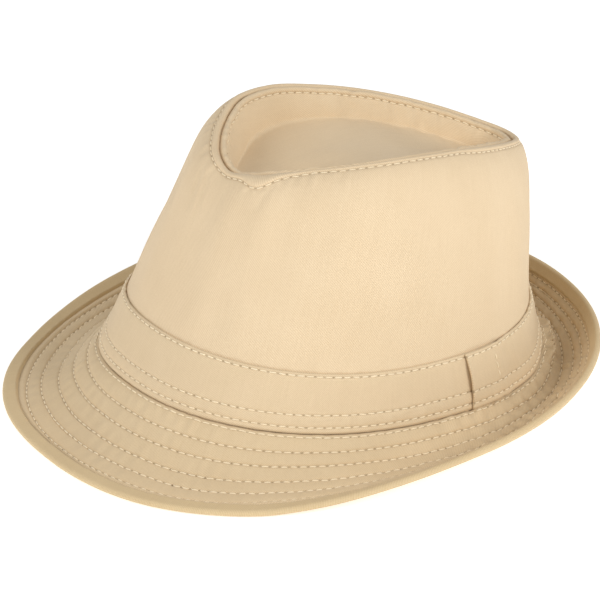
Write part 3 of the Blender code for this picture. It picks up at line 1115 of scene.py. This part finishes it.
def brim():
    """The brim: five stitched rows, quilted between, with puckers that the stitching draws up."""
    turn = around(BRIM_COLUMNS)
    columns, travelled, total = brim_columns(turn)
    bound = total - BINDING_WIDTH
    places, row_places = brim_places(turn, bound)
    smooth = at_places(columns, travelled, places)
    facing = normals_up(smooth)
    rear = turn_window(turn, 100, 200, 25)
    free = ramp(bound + 0.002 - places, 0, 0.004)
    dips = groove(places - ATTACH_ROW, FAINT_DIP)
    for place in row_places:
        dips = dips + groove(places - place, ROW_DIP)
    seam = groove(places - bound, BINDING_DIP)
    quilt = QUILT * quilting(places, [0 * bound, *row_places, bound]) * free
    calm = free * (1 - 0.75 * ramp(places, bound - 0.006, bound))
    pucker = (0.6 + 1.2 * rear) * waves(BRIM_PUCKERS, turn, places) * calm
    knots = waves(BRIM_LUMPS, turn, places)
    lumps = (0.4 + 1.6 * rear) * knots * calm
    body = waves(BRIM_BODY, turn, places) * ramp(places, 0.004, 0.012) * free
    roll = ROLL_HEIGHT + ROLL_LUMPS * knots + waves(BRIM_CREASES, turn, places)
    roll = turn_window(turn, *ROLL_TURNS) * roll * bell(places - ROLL_PLACE, ROLL_WIDTH)
    raised = ramp(smooth[..., 2], BRIM_CLOTH + 0.0002, BRIM_CLOTH + 0.002)
    move = dips + seam + quilt + (pucker + lumps + body) * (0.5 + 0.5 * raised) + roll
    grid = smooth + facing * move[..., None]
    normals = normals_up(grid)
    stitched = [ATTACH_ROW + 0 * bound, *row_places]
    rows = []
    for place in stitched:
        path = at_places(grid, places, place[None])[0]
        path_normals = unit(at_places(normals, places, place[None])[0])
        rows.append(StitchRow(path, path_normals, stitch_count(path)))
    depth = BRIM_CLOTH + 0.4 * dips + 0.3 * quilt
    lower = smooth - facing * depth[..., None]
    lower[..., 2] = np.maximum(lower[..., 2], FLOOR_GAP)
    kept = np.unique([*range(0, len(places), UNDER_EVERY), len(places) - 1])
    under = []
    for place, row in zip(row_places, rows[1:]):
        path = at_places(lower, places, place[None])[0]
        path_normals = unit(at_places(facing, places, place[None])[0])
        path = path + path_normals * THREAD_RADIUS * 0.6
        path[:, 2] = np.maximum(path[:, 2], THREAD_RADIUS)
        under.append(StitchRow(path, -path_normals, row.count))
    inward = level_tuck(turn)
    sheets = [grid[:1] + inward, grid, lower[kept][::-1], lower[:1] + inward, grid[:1] + inward]
    inner = places[:1] - BAND_CLOTH
    across = [inner, places, places[kept][::-1], inner, inner]
    loop = np.vstack(sheets)
    loop_places = np.vstack(across)
    mesh = grid_mesh(
        "brim_cloth",
        loop[::-1],
        weave_pairs(loop, loop_places)[::-1],
        stitch_pairs(rows, [loop_places - place for place in stitched])[::-1],
    )
    weld(mesh)
    add_piece("brim_cloth", mesh, BRIM_TWILL, "brim")
    return rows, under


def level_tuck(turn):
    """The step from the band's outer face in to the crown's wall."""
    out = level_normal(foot_points, turn)
    return -(out * BAND_CLOTH)[None]


def quilting(places, seams):
    """0 at each seam and 1 midway between two."""
    total = 0 * places
    for low, high in zip(seams, seams[1:]):
        share = (places - low) / (high - low)
        inside = (share > 0) & (share < 1)
        total = total + np.where(inside, np.sin(math.pi * np.clip(share, 0, 1)) ** 0.8, 0)
    return total


def brim_binding():
    """The bias strip round the brim's edge: two legs and a round nose, drawn in at its seam."""
    turn = around()
    columns, travelled, total = brim_columns(turn)
    bound = total - BINDING_WIDTH
    legs = np.array(BINDING_LEGS)
    top = at_places(columns, travelled, bound + legs[:, None])
    normals = normals_up(top)
    across = unit(np.gradient(top, axis=0))
    puff = ramp(legs, -0.0001, 0.001)[:, None]
    gather = waves(BINDING_GATHER, turn, legs[:, None]) * bell(legs - 0.001, 0.002)[:, None]
    lift = -LEG_SINK + puff * (LEG_SINK + BINDING_CLOTH) + gather
    upper = top + normals * lift[..., None]
    under_lift = BRIM_CLOTH + puff * BINDING_CLOTH - 0.2 * gather
    lower = top - normals * under_lift[..., None]
    lower[..., 2] = np.maximum(lower[..., 2], FLOOR_GAP / 2)
    middle = (upper[-1] + lower[-1]) / 2
    radius = np.linalg.norm(upper[-1] - lower[-1], axis=-1) / 2
    radius = radius * (1 + waves(BINDING_NOSE, turn, 0))
    out = across[-1]
    up = unit(upper[-1] - lower[-1])
    nose = []
    for degrees in NOSE_ANGLES:
        angle = math.radians(degrees)
        reach = math.cos(angle) * out + math.sin(angle) * up
        nose.append(middle + reach * radius[:, None])
    nose = np.array(nose)
    nose[..., 2] = np.maximum(nose[..., 2], FLOOR_GAP / 2)
    grid = np.vstack([upper, nose, lower[::-1]])
    travelled = lengths_along(grid)
    mesh = grid_mesh("brim_binding_cloth", grid[::-1], weave_pairs(grid, travelled)[::-1])
    add_piece("brim_binding_cloth", mesh, BINDING_TWILL, "brim_binding")


def stitches(name, rows, seed):
    """The threads of some stitched rows, as one piece."""
    add_piece(name, thread_mesh(name, rows, seed), THREAD)


def toward(azimuth, elevation):
    """The direction from the hat to a place at an azimuth and an elevation in degrees."""
    around_hat = math.radians(azimuth)
    height = math.radians(elevation)
    return Vector((
        math.sin(around_hat) * math.cos(height),
        -math.cos(around_hat) * math.cos(height),
        math.sin(height),
    ))


def studio():
    """A white floor that glows a little, even light from all round, and two soft lamps."""
    floor_mesh = bpy.data.meshes.new("floor")
    half = FLOOR_HALF
    outline = [(-half, -half, 0), (half, -half, 0), (half, half, 0), (-half, half, 0)]
    floor_mesh.from_pydata(outline, [], [(0, 1, 2, 3)])
    floor = bpy.data.objects.new("floor", floor_mesh)
    bpy.context.scene.collection.objects.link(floor)
    nodes = Nodes("floor_white")
    nodes.shader.inputs["Base Color"].default_value = FLOOR_WHITE
    nodes.shader.inputs["Roughness"].default_value = 0.9
    nodes.shader.inputs["Specular IOR Level"].default_value = 0.0
    nodes.shader.inputs["Emission Color"].default_value = WHITE
    nodes.shader.inputs["Emission Strength"].default_value = FLOOR_GLOW
    floor_mesh.materials.append(nodes.material)
    world = bpy.data.worlds.new("studio")
    world.use_nodes = True
    world.node_tree.nodes["Background"].inputs["Color"].default_value = WHITE
    world.node_tree.nodes["Background"].inputs["Strength"].default_value = WORLD_LIGHT
    bpy.context.scene.world = world
    bpy.context.scene.view_settings.view_transform = "Standard"
    for lamp in LAMPS:
        data = bpy.data.lights.new(lamp.name, "AREA")
        data.shape = "DISK"
        data.size = lamp.size
        data.energy = lamp.watts
        light = bpy.data.objects.new(lamp.name, data)
        back = toward(lamp.azimuth, lamp.elevation)
        light.location = LAMP_AIM + back * lamp.distance
        light.rotation_mode = "QUATERNION"
        light.rotation_quaternion = (-back).to_track_quat("-Z", "Y")
        bpy.context.scene.collection.objects.link(light)


def camera():
    """The camera, level sideways, with the crown's foot a little off the picture's middle."""
    back = toward(CAMERA_AZIMUTH, CAMERA_ELEVATION)
    azimuth = math.radians(CAMERA_AZIMUTH)
    right = Vector((math.cos(azimuth), math.sin(azimuth), 0))
    up = back.cross(right)
    data = bpy.data.cameras.new("camera")
    data.lens = CAMERA_LENS
    data.sensor_width = CAMERA_SENSOR
    data.clip_start = CAMERA_NEAR
    data.clip_end = CAMERA_FAR
    holder = bpy.data.objects.new("camera", data)
    aim = Vector(SHIFT) + Vector((0, 0, REST_HEIGHT))
    holder.location = aim + CAMERA_DISTANCE * back + CAMERA_ASIDE * right + CAMERA_ABOVE * up
    holder.rotation_mode = "QUATERNION"
    holder.rotation_quaternion = Matrix((right, up, back)).transposed().to_quaternion()
    bpy.context.scene.collection.objects.link(holder)
    bpy.context.scene.camera = holder


def corners(box):
    return [list(corner) for corner in box]


side_row = crown_side()
tip_row = crown_tip()
band_rows = hat_band()
brim_rows, under_rows = brim()
brim_binding()
stitches("crown_stitches", [side_row, tip_row], 61)
stitches("band_stitches", band_rows, 62)
stitches("brim_stitches", brim_rows, 63)
stitches("brim_under_stitches", under_rows, 64)
studio()
camera()
